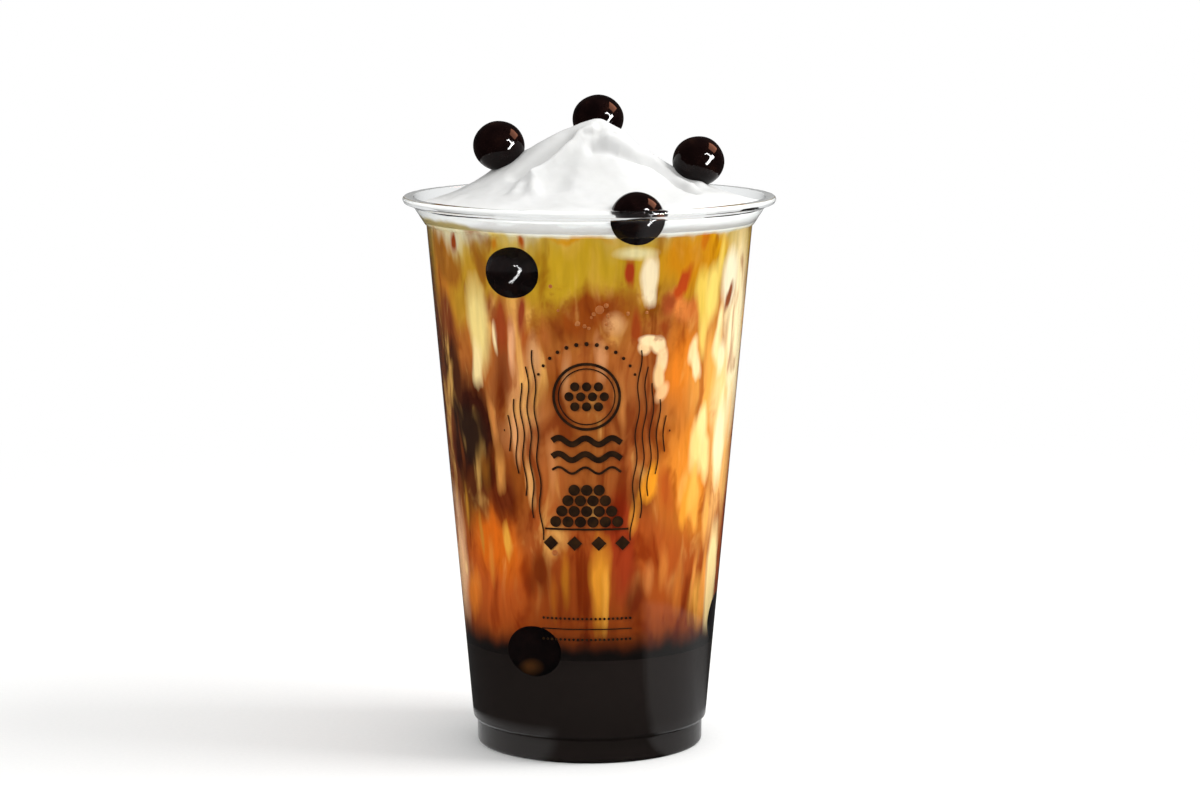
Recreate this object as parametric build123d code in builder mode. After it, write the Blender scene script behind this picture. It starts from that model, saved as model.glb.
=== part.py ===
from build123d import *

import os
from math import cos, exp, hypot, radians, sin

# Bubble tea in a clear plastic cup: dark brown sugar syrup at the bottom, streaked milk tea
# above it, and a peaked mound of soft cream with tapioca pearls on top.
# Millimetres, +Z up, origin at the centre of the cup's foot, the cup's front towards -Y.

# ---- Cup ----
cup_height = 141.0
rim_diameter = 95.0  # over the lip
base_diameter = 58.0
wall = 0.6
lip_width = 2.8  # how far the lip stands out from the top of the collar
lip_edge = 1.5  # the lip's thickness at its outer edge
lip_root = 2.5  # and where it joins the collar
collar_flare = 3.3  # the collar slants out by this much
collar_rise = 4.7  # over this height
mouth_flare = 0.5  # from the top of the collar to the rim
step_level = 6.0  # top of the base ring, where the stacking shoulder starts
shoulder_width = 1.0  # the shoulder runs out at 45 degrees
punt_height = 3.0  # the pushed-up middle of the floor
punt_slope = 3.0  # the slanted ring round the punt
foot_width = 3.2  # the flat ring that the cup stands on

# ---- Contents ----
fit_gap = 0.05  # between the contents and whatever they touch
syrup_level = 27.0
tea_headroom = 6.0  # from the rim down to where the cream starts
cream_headroom = 3.4  # from the rim down to the cream's edge at the wall
cream_swell = 2.6  # how far the cream bulges inside that edge
swell_start = 0.95  # where the bulge ends, as a share of the cream's radius
swell_sharpness = 10
front_dip = 0.8  # the cream lies lower by this much towards the front
peak_height = 20.0  # of the mound, over the bulge
peak_x, peak_y = 2.8, 1.0
# How far the mound spreads each way from its peak, and how sharp its shoulder is there.
left_reach, left_power = 24.5, 2.0
right_reach, right_power = 18.5, 1.4
front_reach, front_power = 17.0, 1.35
back_reach, back_power = 18.0, 1.8
# The creases beside the mound's two ridges: direction, depth, width, nearest and farthest reach.
creases = [(-17.0, 1.2, 3.0, 4.0, 29.0), (203.0, 1.3, 3.2, 7.0, 25.0)]
# A low hump behind the left ridge: place, height and width.
hump_x, hump_y, hump_height, hump_width = -21.0, 10.0, 2.6, 9.0
surface_steps = 48  # points across the cream's surface

# ---- Pearls ----
pearl_diameter = 13.2
pearl_flattening = 0.95  # a soft pearl is a little lower than it is wide
# Name, place, size as a share of the pearl diameter, how deep it sinks into the cream, and tilt.
mound_pearls = [
    ("pearl_left", -23.0, 4.0, 1.00, 1.5, 18.0),
    ("pearl_back", 2.2, 10.5, 0.99, 1.6, -12.0),
    ("pearl_right", 27.6, -0.5, 1.00, 1.4, 25.0),
]
front_pearl_x = 11.8  # the front pearl leans on the collar
front_pearl_drop = 2.6  # from the rim down to its centre
collar_gap = 0.35  # between the front pearl and the collar

# ---- Sizes that follow ----
rim_radius = rim_diameter / 2
base_radius = base_diameter / 2
collar_level = cup_height - lip_root
neck_level = collar_level - collar_rise
collar_radius = rim_radius - lip_width
neck_radius = collar_radius - collar_flare
mouth_radius = collar_radius + mouth_flare
shoulder_radius = base_radius + shoulder_width
shoulder_level = step_level + shoulder_width
foot_inner = base_radius - foot_width
punt_edge = foot_inner - punt_slope
tea_level = cup_height - tea_headroom
cream_edge = cup_height - cream_headroom
top_of_all = cup_height + peak_height + cream_swell + pearl_diameter

# The outside of the cup from the middle of its floor to its mouth: corner and rounding.
side = [
    ((0, punt_height), None),
    ((punt_edge, punt_height), 2.0),
    ((foot_inner, 0), 1.2),
    ((base_radius, 0), 1.3),
    ((base_radius, step_level), 0.35),
    ((shoulder_radius, shoulder_level), 0.9),
    ((neck_radius, neck_level), 0.5),
    ((collar_radius, collar_level), 1.4),
    ((mouth_radius, cup_height), None),
]
least_rounding = 0.15


def moved_in(inset):
    """The side's corners and roundings after it moves inwards by inset, square to each face."""
    corners = [Vector(*corner) for corner, _ in side]
    runs = [(b - a).normalized() for a, b in zip(corners, corners[1:])]
    inward = [Vector(-run.Y, run.X) for run in runs]
    places = [corners[0] + inward[0] * inset]
    roundings = []
    for i, (a, b) in enumerate(zip(inward, inward[1:]), start=1):
        places.append(corners[i] + (a + b) * (inset / (1 + a.dot(b))))
        turn = 1 if runs[i - 1].cross(runs[i]).Z > 0 else -1
        roundings.append(max(side[i][1] - turn * inset, least_rounding))
    places.append(corners[-1] + inward[-1] * inset)
    return places, roundings


def filled_cup(inset, top):
    """Everything inside the cup's side moved in by inset, up to the height top."""
    places, roundings = moved_in(inset)
    with BuildPart() as filled:
        with BuildSketch(Plane.XZ):
            with BuildLine():
                FilletPolyline(*[(p.X, p.Y) for p in places], radius=roundings)
                mouth, floor = places[-1], places[0]
                Polyline((mouth.X, mouth.Y), (mouth.X, top), (0, top), (0, floor.Y))
            make_face()
        revolve(axis=Axis.Z)
    return filled.part


def radius_at(level, inset):
    """How far out the side lies at a height over the shoulder, after it moves in by inset."""
    places, _ = moved_in(inset)
    shoulder, neck, collar, mouth = places[-4:]
    if level < neck.Y:
        low, high = shoulder, neck
    elif level < collar.Y:
        low, high = neck, collar
    else:
        low, high = collar, mouth
    return low.X + (high.X - low.X) * (level - low.Y) / (high.Y - low.Y)


def crease(ahead, across, depth, width, near, far):
    """The depth of a groove that runs out from the peak, at a point ahead and across of it."""
    middle, half = (near + far) / 2, (far - near) / 2
    return depth * exp(-((across / width) ** 2)) * exp(-(((ahead - middle) / half) ** 4))


cream_radius = radius_at(cream_edge, wall)


def cream_top(x, y):
    """The height of the cream's surface above a point of the cup's mouth."""
    swell = 1 / (1 + (hypot(x, y) / (swell_start * cream_radius)) ** swell_sharpness)
    dx, dy = x - peak_x, y - peak_y
    away = max(hypot(dx, dy), 1e-6)
    beside, along = (dx / away) ** 2, (dy / away) ** 2
    side_reach, side_power = (left_reach, left_power) if dx < 0 else (right_reach, right_power)
    deep_reach, deep_power = (front_reach, front_power) if dy < 0 else (back_reach, back_power)
    reach = (beside / side_reach**2 + along / deep_reach**2) ** -0.5
    power = beside * side_power + along * deep_power
    mound = peak_height * exp(-((away / reach) ** power))
    hump = hump_height * exp(-((hypot(x - hump_x, y - hump_y) / hump_width) ** 2))
    grooves = 0
    for direction, depth, width, near, far in creases:
        c, s = cos(radians(direction)), sin(radians(direction))
        grooves += crease(dx * c + dy * s, dy * c - dx * s, depth, width, near, far)
    dip = front_dip * max(-y, 0) / cream_radius
    return cream_edge - dip + (cream_swell + mound + hump - grooves) * swell


def air_over_cream():
    """A solid that fills the space above the cream's surface."""
    reach = mouth_radius + 2
    line = [reach * (2 * i / surface_steps - 1) for i in range(surface_steps + 1)]
    points = [[Vector(x, y, cream_top(x, y)) for y in line] for x in line]
    surface = Face.make_surface_from_array_of_points(points, tol=0.02, min_deg=3, max_deg=5)
    return Solid.extrude(surface, Vector(0, 0, top_of_all))


def pearl_seats():
    """Name, centre, diameter and tilt of each pearl on the cream."""
    for name, x, y, share, sink, tilt in mound_pearls:
        diameter = pearl_diameter * share
        yield name, (x, y, cream_top(x, y) + diameter / 2 - sink), diameter, tilt
    level = cup_height - front_pearl_drop
    out = radius_at(level, wall + collar_gap + pearl_diameter / 2)
    front_y = -((out**2 - front_pearl_x**2) ** 0.5)
    yield "pearl_front", (front_pearl_x, front_y, level), pearl_diameter, 8.0


def pearl_solid(centre, diameter, tilt, grow=0):
    """A soft pearl, larger all round by grow."""
    with BuildPart() as pearl:
        Sphere(diameter / 2 + grow)
        scale(by=(1, 1, pearl_flattening))
    return pearl.part.moved(Location(centre, (tilt, tilt / 2, 0)))


# ---- The cup: a thin shell with a flanged lip ----
with BuildPart() as cup:
    add(filled_cup(0, top_of_all))
    split(bisect_by=Plane.XY.offset(cup_height), keep=Keep.BOTTOM)
    with BuildSketch(Plane.XZ) as lip_section:
        with BuildLine():
            Polyline(
                (mouth_radius - wall, cup_height),
                (rim_radius, cup_height),
                (rim_radius, cup_height - lip_edge),
                (collar_radius, collar_level),
                (mouth_radius - wall, cup_height),
            )
        make_face()
        fillet(lip_section.vertices().group_by(Axis.X)[-1], radius=0.45 * lip_edge)
    revolve(axis=Axis.Z)
    add(filled_cup(wall, top_of_all), mode=Mode.SUBTRACT)
cup.part.label = "cup"

# ---- The contents, one layer on another, with a seat for each pearl ----
contents = filled_cup(wall + fit_gap, top_of_all)

with BuildPart() as syrup:
    add(contents)
    split(bisect_by=Plane.XY.offset(syrup_level), keep=Keep.BOTTOM)
syrup.part.label = "brown_sugar_syrup"

with BuildPart() as tea:
    add(contents)
    split(bisect_by=Plane.XY.offset(syrup_level + fit_gap), keep=Keep.TOP)
    split(bisect_by=Plane.XY.offset(tea_level), keep=Keep.BOTTOM)
    for _, centre, diameter, tilt in pearl_seats():
        add(pearl_solid(centre, diameter, tilt, grow=fit_gap), mode=Mode.SUBTRACT)
tea.part.label = "milk_tea"

with BuildPart() as cream:
    add(contents)
    split(bisect_by=Plane.XY.offset(tea_level + fit_gap), keep=Keep.TOP)
    add(air_over_cream(), mode=Mode.SUBTRACT)
    for _, centre, diameter, tilt in pearl_seats():
        add(pearl_solid(centre, diameter, tilt, grow=fit_gap), mode=Mode.SUBTRACT)
cream.part.label = "cream"

os.makedirs("parts", exist_ok=True)
export_step(cup.part, "parts/cup.step")
export_step(syrup.part, "parts/brown_sugar_syrup.step")
export_step(tea.part, "parts/milk_tea.step")
export_step(cream.part, "parts/cream.step")

for name, centre, diameter, tilt in pearl_seats():
    pearl = pearl_solid(centre, diameter, tilt)
    pearl.label = name
    export_step(pearl, f"parts/{name}.step")
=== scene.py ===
"""Bubble tea in a clear cup: the looks, made round the CAD frame.

Sizes in this script are in millimetres and degrees until a mesh is made. The cup's axis is Z and
its printed front faces -Y. An angle round the cup is 0 at the front and grows towards +X.
"""

from math import cos, exp, pi, radians, sin, sqrt, tan
from random import Random

import bmesh
import bpy
from mathutils import Matrix, Vector, noise


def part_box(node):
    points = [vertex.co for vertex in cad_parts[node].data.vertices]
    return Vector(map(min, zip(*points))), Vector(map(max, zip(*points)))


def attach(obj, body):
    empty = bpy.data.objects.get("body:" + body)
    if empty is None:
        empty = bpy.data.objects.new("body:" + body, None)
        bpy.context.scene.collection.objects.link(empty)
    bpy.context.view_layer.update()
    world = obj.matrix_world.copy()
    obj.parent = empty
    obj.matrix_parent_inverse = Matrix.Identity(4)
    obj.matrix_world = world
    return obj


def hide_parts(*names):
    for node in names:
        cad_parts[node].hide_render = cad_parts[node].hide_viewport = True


MM = 0.001
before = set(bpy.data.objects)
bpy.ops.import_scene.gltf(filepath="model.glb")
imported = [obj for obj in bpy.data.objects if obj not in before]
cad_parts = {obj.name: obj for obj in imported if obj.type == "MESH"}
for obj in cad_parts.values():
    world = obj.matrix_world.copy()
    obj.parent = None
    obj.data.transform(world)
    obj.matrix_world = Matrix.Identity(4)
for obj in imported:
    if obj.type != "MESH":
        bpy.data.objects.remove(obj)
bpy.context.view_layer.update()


def corners_mm(node):
    """The lowest and highest corners of a CAD node, in millimetres."""
    low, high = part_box(node)
    return low / MM, high / MM


# ---- Sizes ----
_, cup_top = corners_mm("cup")
cup_height, rim_radius = cup_top.z, cup_top.x
lip_reach = 18.5  # how far the lip stands out past the foot
base_radius = rim_radius - lip_reach
wall = 0.6
lip_width, lip_edge, lip_root = 2.8, 1.5, 2.5
collar_flare, collar_rise = 3.3, 4.7
mouth_flare = 0.5
step_level, shoulder_width = 6.0, 1.0
punt_height, punt_slope, foot_width = 3.0, 3.0, 3.2
ledge_width, ledge_rise = 0.45, 0.25  # the fine stacking ledge under the collar

collar_level = cup_height - lip_root
neck_level = collar_level - collar_rise
collar_radius = rim_radius - lip_width
neck_radius = collar_radius - collar_flare
mouth_radius = collar_radius + mouth_flare
shoulder_radius = base_radius + shoulder_width
shoulder_level = step_level + shoulder_width
foot_inner = base_radius - foot_width
punt_edge = foot_inner - punt_slope
into_wall = 0.2  # the contents reach this far into the wall, so that no air shows

syrup_level = corners_mm("brown_sugar_syrup")[1].z
tea_level = corners_mm("milk_tea")[1].z


# ---- Helpers: nodes, colours and meshes ----
def colour(code):
    """A linear colour from an sRGB hex value."""
    parts = [int(code[i : i + 2], 16) / 255 for i in (1, 3, 5)]
    return (*(c / 12.92 if c <= 0.04045 else ((c + 0.055) / 1.055) ** 2.4 for c in parts), 1.0)


def add(tree, kind, inputs=(), **settings):
    """Adds a node with its settings. Each input is a value, an output to link to, or a node whose
    first output it is."""
    node = tree.nodes.new("ShaderNode" + kind)
    for name, value in settings.items():
        setattr(node, name, value)
    sockets = dict(enumerate(node.inputs)) | {s.identifier: s for s in node.inputs}
    for name, value in dict(inputs).items():
        if isinstance(value, bpy.types.Node):
            value = value.outputs[0]
        if isinstance(value, bpy.types.NodeSocket):
            tree.links.new(value, sockets[name])
        else:
            sockets[name].default_value = value
    return node


def new_material(name):
    material = bpy.data.materials.new(name)
    material.use_nodes = True
    material.node_tree.nodes.clear()
    return material, material.node_tree


def set_ramp(node, stops):
    """Gives a colour ramp its stops: position and sRGB hex value."""
    elements = node.color_ramp.elements
    while len(elements) < len(stops):
        elements.new(0.5)
    for element, (position, code) in zip(elements, stops):
        element.position = position
        element.color = colour(code)


def mottled(tree, place, scale, stops, detail=3.0):
    """A colour that wanders between the stops of a ramp with a noise."""
    drift = add(tree, "TexNoise", {"Vector": place, "Scale": scale, "Detail": detail})
    tint = add(tree, "ValToRGB", {"Fac": drift.outputs["Fac"]})
    set_ramp(tint, stops)
    return tint


def around(angle, radius, level):
    """A point from its angle round the cup in radians, its radius and its height."""
    return radius * sin(angle), -radius * cos(angle), level


def new_object(name, points, faces, material):
    """A smooth mesh object that rides on the part, from points in millimetres."""
    mesh = bpy.data.meshes.new(name)
    mesh.from_pydata([Vector(p) * MM for p in points], [], faces)
    mesh.validate()
    mesh.shade_smooth()
    mesh.materials.append(material)
    piece = bpy.data.objects.new(name, mesh)
    bpy.context.scene.collection.objects.link(piece)
    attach(piece, "root")
    return piece


def rounded(corners, steps=6):
    """An outline through corners (radius, height, rounding), with its corners turned into arcs."""
    spots = [Vector(c[:2]) for c in corners]
    outline = [spots[0]]
    for before, spot, after, corner in zip(spots, spots[1:], spots[2:], corners[1:]):
        back, ahead = (before - spot).normalized(), (after - spot).normalized()
        half_turn = (pi - back.angle(ahead)) / 2
        reach = corner[2] * tan(half_turn)
        reach = min(reach, 0.45 * (before - spot).length, 0.45 * (after - spot).length)
        for i in range(steps + 1):
            t = i / steps
            outline.append(
                (spot + back * reach) * (1 - t) ** 2
                + spot * 2 * t * (1 - t)
                + (spot + ahead * reach) * t**2
            )
    outline.append(spots[-1])
    return outline


def lathe(name, outline, material, turns=256):
    """A round piece from an outline that starts and ends on the axis."""
    points = [(0, 0, outline[0].y)]
    rings = outline[1:-1]
    for spot in rings:
        for i in range(turns):
            angle = 2 * pi * i / turns
            points.append(around(angle, spot.x, spot.y))
    points.append((0, 0, outline[-1].y))
    last = len(points) - 1
    faces = []
    for i in range(turns):
        j = (i + 1) % turns
        faces.append((0, 1 + j, 1 + i))
        for k in range(len(rings) - 1):
            a, b = 1 + k * turns, 1 + (k + 1) * turns
            faces.append((a + i, a + j, b + j, b + i))
        a = 1 + (len(rings) - 1) * turns
        faces.append((last, a + i, a + j))
    return new_object(name, points, faces, material)


def inner_radius(level):
    """The radius of the cup's inside at a height over the shoulder."""
    if level < neck_level:
        share = (level - shoulder_level) / (neck_level - shoulder_level)
        return shoulder_radius - wall + (neck_radius - shoulder_radius) * share
    if level < collar_level:
        return neck_radius - wall + collar_flare * (level - neck_level) / collar_rise
    return collar_radius - wall + mouth_flare * (level - collar_level) / lip_root


# ---- Camera, lights and floor ----
low_light, high_light = 0.6, 1.16  # from the dim side of the studio to the bright one
bright_way = (0.45, 0.0, 0.89)  # where the bright side is, seen from the cup
mirror_light = 0.04  # what a mirror sees of the studio
inner_light = 0.95  # and what the plastic's inside sees of it
scattered_light = 2.0  # what the liquids get of it beside the lamps' own rays
floor_beside, floor_close = 0.4, 0.5  # what a mirror sees of the floor's lit patches
strip_radiance, low_strip_radiance = 150, 200
lamp_aim = (0, 0, 155)  # what every lamp faces
camera_tilt = 8.05


def make_camera():
    """A long lens a little over the cup's rim, looking a little down."""
    data = bpy.data.cameras.new("camera")
    data.sensor_width = 36.0
    data.lens = 110.1
    camera = bpy.data.objects.new("camera", data)
    camera.location = Vector((2.7, -930.0, 220.0)) * MM
    camera.rotation_euler = (radians(90 - camera_tilt), 0, 0)
    data.clip_start, data.clip_end = 0.01, 100
    bpy.context.scene.collection.objects.link(camera)
    bpy.context.scene.camera = camera


def softbox(name, place, size, radiance, tint="#ffffff", roll=0, glint=True, only=None):
    """A rectangular studio light, with place and size in millimetres, aimed at the top of the
    cup and rolled by degrees. One made for glints lights nothing but what mirrors it, and flags
    can keep a light off all but a collection."""
    data = bpy.data.lights.new(name, "AREA")
    data.shape = "RECTANGLE"
    data.size, data.size_y = size[0] * MM, size[1] * MM
    data.energy = radiance * pi * data.size * data.size_y
    data.color = colour(tint)[:3]
    data.use_nodes = True
    tree = data.node_tree
    tree.nodes.clear()
    # What the liquids scatter back out through the wall doesn't meet the light again: its own
    # rays have lit them already.
    path = add(tree, "LightPath")
    first = add(tree, "Math", {0: path.outputs["Diffuse Depth"], 1: 0.5}, operation="LESS_THAN")
    glow = add(tree, "Emission", {"Strength": first})
    add(tree, "OutputLight", {"Surface": glow})
    light = bpy.data.objects.new(name, data)
    light.location = Vector(place) * MM
    facing = (Vector(lamp_aim) - Vector(place)).to_track_quat("-Z", "Y").to_matrix()
    light.rotation_euler = (facing @ Matrix.Rotation(radians(roll), 3, "Z")).to_euler()
    light.visible_camera = False
    if only:
        light.light_linking.receiver_collection = only
    # The wall keeps the drink's own rays from the fills, so they're sampled as lamps only.
    data.cycles.use_multiple_importance_sampling = glint
    light.visible_diffuse = not glint
    light.visible_glossy = glint
    light.visible_transmission = glint
    bpy.context.scene.collection.objects.link(light)


def light_world():
    """Soft light from everywhere, strongest from above on the right. The studio looks white past
    the cup but is nearly dark in mirrors, as with black cards round the set."""
    world = bpy.data.worlds.new("studio")
    bpy.context.scene.world = world
    world.use_nodes = True
    tree = world.node_tree
    tree.nodes.clear()
    place = add(tree, "TexCoord")
    side = add(
        tree, "VectorMath", {0: place.outputs["Generated"], 1: bright_way}, operation="DOT_PRODUCT"
    )
    lit = add(
        tree,
        "MapRange",
        {"Value": side.outputs["Value"], "From Min": -0.5, "To Min": low_light, "To Max": high_light},
    )
    path = add(tree, "LightPath")
    inside = add(
        tree, "Math", {0: path.outputs["Transmission Depth"], 1: 0.5}, operation="GREATER_THAN"
    )
    gloss = add(tree, "Mix", {0: inside, 2: mirror_light, 3: inner_light})
    mirror = add(tree, "Mix", {0: path.outputs["Is Glossy Ray"], 2: lit, 3: gloss})
    # Past the cup the studio is white, also through its walls, but dimmer after a mirror; and
    # what the liquids scatter out through the wall has had most of its light already.
    mirrored = add(tree, "Math", {0: path.outputs["Glossy Depth"], 1: 0.5}, operation="GREATER_THAN")
    behind = add(tree, "Mix", {0: mirrored, 2: 1.0, 3: inner_light})
    scattered = add(tree, "Math", {0: path.outputs["Diffuse Depth"], 1: 1.0}, operation="MINIMUM")
    past = add(tree, "Mix", {0: scattered, 2: behind, 3: scattered_light})
    through = add(
        tree,
        "Math",
        {0: path.outputs["Is Transmission Ray"], 1: path.outputs["Is Camera Ray"]},
        operation="MAXIMUM",
    )
    strength = add(tree, "Mix", {0: through, 2: mirror, 3: past})
    background = add(tree, "Background", {"Color": colour("#ffffff"), "Strength": strength})
    add(tree, "OutputWorld", {"Surface": background})


# The pieces that flags keep each group of lamps to.
drink_lit = bpy.data.collections.new("lit_by_the_fills")
strips_lit = bpy.data.collections.new("lit_by_the_strips")
low_strips_lit = bpy.data.collections.new("lit_by_the_low_strips")


def light_studio():
    """The white studio; a tilted strip light with a wider head and a hook, which gives the
    pearls their highlights; a lower one like it for the pearl behind the wall, which can't
    mirror the first; a brown card behind on the right; a key from above on the right, and a
    soft fill on each side of the drink."""
    light_world()
    for name, place, size, roll in (
        ("strip", (272, -222, 156), (58, 235), -41),
        ("strip_head", (348, -160, 246), (80, 150), -62),
        ("strip_neck", (298, -202, 318), (36, 150), 35),
        ("strip_hook", (228, -246, 372), (85, 26), 10),
    ):
        softbox(name, place, size, strip_radiance, roll=roll, only=strips_lit)
    for name, place, size, roll in (
        ("low_strip", (48, -158, 74), (26, 206), -35),
        ("low_strip_head", (190, -250, 170), (64, 110), -50),
        ("low_strip_neck", (150, -232, 232), (24, 100), 40),
        ("low_strip_hook", (95, -235, 262), (80, 20), 10),
    ):
        softbox(name, place, size, low_strip_radiance, roll=roll, only=low_strips_lit)
    softbox("warm_card", (368, 100, 478), (330, 230), 9.0, tint="#ffa884", only=strips_lit)
    softbox("key", (400, -60, 500), (260, 260), 10.0, glint=False)
    softbox("fill_left", (-420, -440, 300), (400, 400), 4.4, glint=False, only=drink_lit)
    softbox("fill_right", (520, -300, 200), (350, 350), 3.0, glint=False, only=drink_lit)
    scene = bpy.context.scene
    scene.view_settings.view_transform = "Standard"
    scene.view_settings.look = "None"


def make_floor():
    """A pale matt sweep that the cup stands on. It fades into the white studio behind, and it is
    dim in mirrors, like the studio."""
    material, tree = new_material("pale_matt_board")
    place = add(tree, "TexCoord")
    # Its grain is about a millimetre across: nine to a centimetre.
    grain = mottled(tree, place.outputs["Object"], 0.9 / MM, [(0.3, "#f3f3f2"), (0.7, "#f6f6f5")])
    board = add(
        tree, "BsdfPrincipled", {"Base Color": grain, "Roughness": 0.9, "Specular IOR Level": 0.0}
    )
    white = add(tree, "Emission", {"Color": colour("#ffffff"), "Strength": 1.0})
    away = add(tree, "VectorMath", {0: place.outputs["Object"]}, operation="LENGTH")
    fade = add(
        tree,
        "MapRange",
        {"Value": away.outputs["Value"], "From Min": 60 * MM, "From Max": 550 * MM},
        interpolation_type="SMOOTHSTEP",
    )
    sweep = add(tree, "MixShader", {0: fade, 1: board, 2: white})
    # In mirrors the board is dim, but for a lit patch to the right of the cup, that ends behind
    # it, and brighter ones close by on both sides. Angles are in radians.
    parts = add(tree, "SeparateXYZ", {0: place.outputs["Object"]})
    ahead = add(tree, "Math", {0: parts.outputs["Y"], 1: -1.0}, operation="MULTIPLY")
    angle = add(tree, "Math", {0: parts.outputs["X"], 1: ahead}, operation="ARCTAN2")
    right = add(tree, "MapRange", {"Value": angle, "From Min": 0.72, "From Max": 0.86})
    left = add(tree, "MapRange", {"Value": angle, "From Min": -0.35, "From Max": -0.5})
    reach = away.outputs["Value"]
    near = add(tree, "MapRange", {"Value": reach, "From Min": 50 * MM, "From Max": 45 * MM})
    sides = add(tree, "Math", {0: left, 1: right}, operation="MAXIMUM")
    close = add(tree, "Math", {0: sides, 1: near}, operation="MULTIPLY")
    low = add(tree, "MapRange", {"Value": reach, "From Min": 130 * MM, "From Max": 125 * MM})
    front = add(tree, "MapRange", {"Value": angle, "From Min": 2.4, "From Max": 1.8})
    beside = add(tree, "Math", {0: right, 1: low}, operation="MULTIPLY")
    beside = add(tree, "Math", {0: beside, 1: front}, operation="MULTIPLY")
    path = add(tree, "LightPath")
    far = add(tree, "Mix", {0: beside, 2: mirror_light, 3: floor_beside})
    lit = add(tree, "Mix", {0: close, 2: far, 3: floor_close})
    inner = add(tree, "Mix", {0: path.outputs["Is Transmission Ray"], 2: lit, 3: inner_light})
    dim = add(tree, "Emission", {"Color": colour("#ffffff"), "Strength": inner})
    mirrored = add(
        tree,
        "Math",
        {0: path.outputs["Glossy Depth"], 1: path.outputs["Diffuse Depth"]},
        operation="SUBTRACT",
        use_clamp=True,
    )
    both = add(tree, "MixShader", {0: mirrored, 1: sweep, 2: dim})
    add(tree, "OutputMaterial", {"Surface": both})
    half = 30.0  # metres
    mesh = bpy.data.meshes.new("floor")
    corners = [(-half, -half, 0), (half, -half, 0), (half, half, 0), (-half, half, 0)]
    mesh.from_pydata(corners, [], [(0, 1, 2, 3)])
    mesh.materials.append(material)
    floor = bpy.data.objects.new("floor", mesh)
    bpy.context.scene.collection.objects.link(floor)


# ---- The cup ----
def clear_plastic():
    """Clear polypropylene, injection moulded: a bright hard gloss, with the faint upright draw
    lines of the mould in its highlights."""
    material, tree = new_material("clear_moulded_polypropylene")
    place = add(tree, "TexCoord")
    # Draw lines 2 mm apart round the cup and 25 mm long up it.
    upright = (1 / (2 * MM), 1 / (2 * MM), 1 / (25 * MM))
    stretch = add(tree, "Mapping", {"Vector": place.outputs["Object"], "Scale": upright})
    lines = add(tree, "TexNoise", {"Vector": stretch, "Scale": 1.0, "Detail": 2.0})
    relief = add(tree, "Bump", {"Height": lines.outputs["Fac"], "Strength": 0.04, "Distance": 0.4 * MM})
    shader = add(
        tree,
        "BsdfPrincipled",
        {
            "Base Color": colour("#fbfcfc"),
            "Roughness": 0.03,
            "IOR": 1.49,
            "Transmission Weight": 1.0,
            "Normal": relief,
        },
    )
    lamps = add(tree, "BsdfTransparent", {"Color": colour("#f6f7f7")})
    # Lamps shine straight through it, both onto the drink and back from the pearls' wet skin.
    path = add(tree, "LightPath")
    straight = add(
        tree,
        "Math",
        {0: path.outputs["Is Shadow Ray"], 1: path.outputs["Is Glossy Ray"]},
        operation="MAXIMUM",
    )
    both = add(tree, "MixShader", {0: straight, 1: shader, 2: lamps})
    add(tree, "OutputMaterial", {"Surface": both})
    return material


def make_cup(material):
    """The clear shell, with its foot ring, stacking ledge, collar and lip."""
    outside = [
        (0, punt_height, 0),
        (punt_edge, punt_height, 2.0),
        (foot_inner, 0, 1.2),
        (base_radius, 0, 1.3),
        (base_radius, step_level, 0.35),
        (shoulder_radius, shoulder_level, 0.9),
        (neck_radius, neck_level, 0.25),
        (neck_radius + ledge_width, neck_level + ledge_rise, 0.2),
        (collar_radius, collar_level, 1.4),
        (rim_radius - 0.5, cup_height - lip_edge - 0.15, 0.5),
        (rim_radius, cup_height - lip_edge * 0.5, 0.6),
        (rim_radius - 0.5, cup_height, 0.5),
    ]
    inside = [
        (mouth_radius - wall, cup_height, 0.4),
        (collar_radius - wall, collar_level, 1.4),
        (neck_radius - wall + ledge_width, neck_level + ledge_rise, 0.2),
        (neck_radius - wall, neck_level, 0.25),
        (shoulder_radius - wall, shoulder_level, 0.9),
        (base_radius - wall, step_level, 0.35),
        (base_radius - wall, wall, 0.9),
        (foot_inner + wall, wall, 0.6),
        (punt_edge + wall, punt_height + wall, 1.4),
        (0, punt_height + wall, 0),
    ]
    cup = lathe("cup_shell", rounded(outside + inside), material)
    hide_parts("cup")
    strips_lit.objects.link(cup)


# ---- The print ----
def dark_ink():
    """Dark brown screen-printing ink: matt and opaque, a little thin in places."""
    material, tree = new_material("dark_brown_screen_ink")
    place = add(tree, "TexCoord")
    # The screen leaves the ink uneven over about 2 mm.
    stops = [(0.35, "#22150c"), (0.7, "#362210")]
    worn = mottled(tree, place.outputs["Object"], 1 / (2 * MM), stops)
    shader = add(
        tree,
        "BsdfPrincipled",
        {"Base Color": worn, "Roughness": 0.5, "IOR": 1.5, "Specular IOR Level": 0.04},
    )
    add(tree, "OutputMaterial", {"Surface": shader})
    return material


def on_wall(way, level, out):
    """A point on the outside of the wall: way in mm to the right of the front, and height."""
    radius = inner_radius(level) + wall
    return around(way / radius, radius + out, level)


def stroke(path, half_width, closed=False):
    """The outline pairs of a printed line along a path of (way, level)."""
    spots = [Vector(p) for p in path]
    pairs = []
    for i, spot in enumerate(spots):
        before = spots[i - 1] if i or closed else spot
        after = spots[(i + 1) % len(spots)] if i + 1 < len(spots) or closed else spot
        along = (after - before).normalized()
        across = Vector((-along.y, along.x)) * half_width
        pairs.append((spot + across, spot - across))
    if closed:
        pairs.append(pairs[0])
    return pairs


def ring_path(way, level, radius, steps=48):
    angles = [radians(360 * i / steps) for i in range(steps)]
    return [(way + radius * cos(a), level + radius * sin(a)) for a in angles]


def level_line(way, level, reach, steps=24):
    return [(way + reach * (2 * i / steps - 1), level) for i in range(steps + 1)]


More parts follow.
